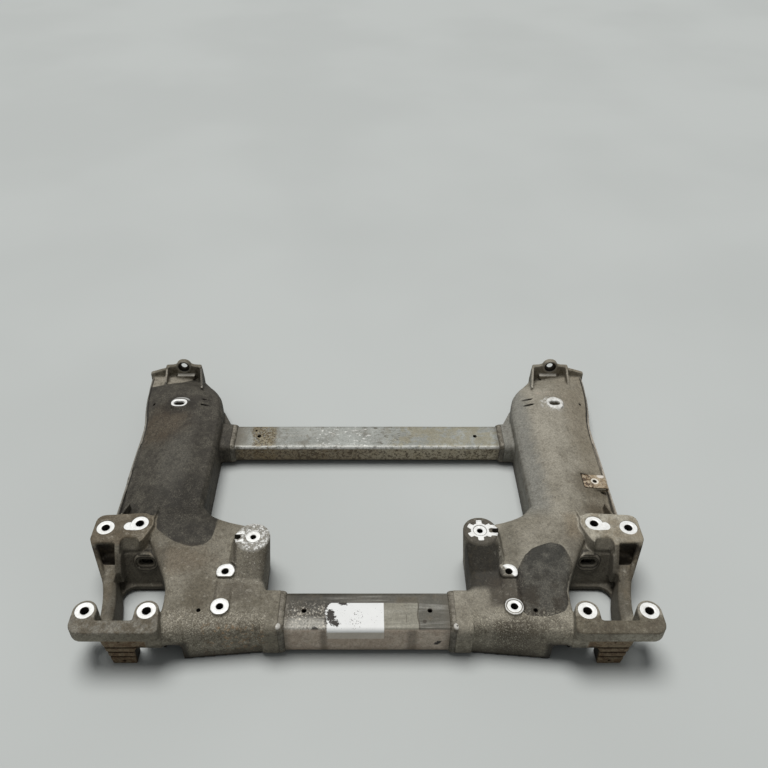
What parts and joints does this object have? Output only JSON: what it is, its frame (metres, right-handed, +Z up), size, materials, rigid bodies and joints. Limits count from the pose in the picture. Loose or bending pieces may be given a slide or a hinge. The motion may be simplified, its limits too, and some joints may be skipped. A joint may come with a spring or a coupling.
{
  "type": "front axle subframe",
  "caption": "Weathered cast aluminium front subframe: two hollow side castings joined by welded cross tubes, with bolt pads, engine pedestals and control arm pockets.",
  "frame": {"origin": "middle of the frame on the floor it lies on, half way between its front and rear ends", "axes": "+X to the car's right as the picture shows it, +Y to the rear, +Z up"},
  "size_m": [1.002, 0.712, 0.11],
  "materials": {
    "cast_aluminium": "matt, stained",
    "tube_aluminium": "satin, weathered",
    "weld_aluminium": "satin",
    "rusty_steel": "matt, rusty"
  },
  "bodies": {
    "root": {"left_side_casting": "cast_aluminium", "right_side_casting": "cast_aluminium", "front_cross_tube": "tube_aluminium", "rear_cross_tube": "tube_aluminium", "front_left_weld": "weld_aluminium", "front_right_weld": "weld_aluminium", "rear_left_weld": "weld_aluminium", "rear_right_weld": "weld_aluminium", "clip_nut": "rusty_steel"}
  },
  "joints": []
}
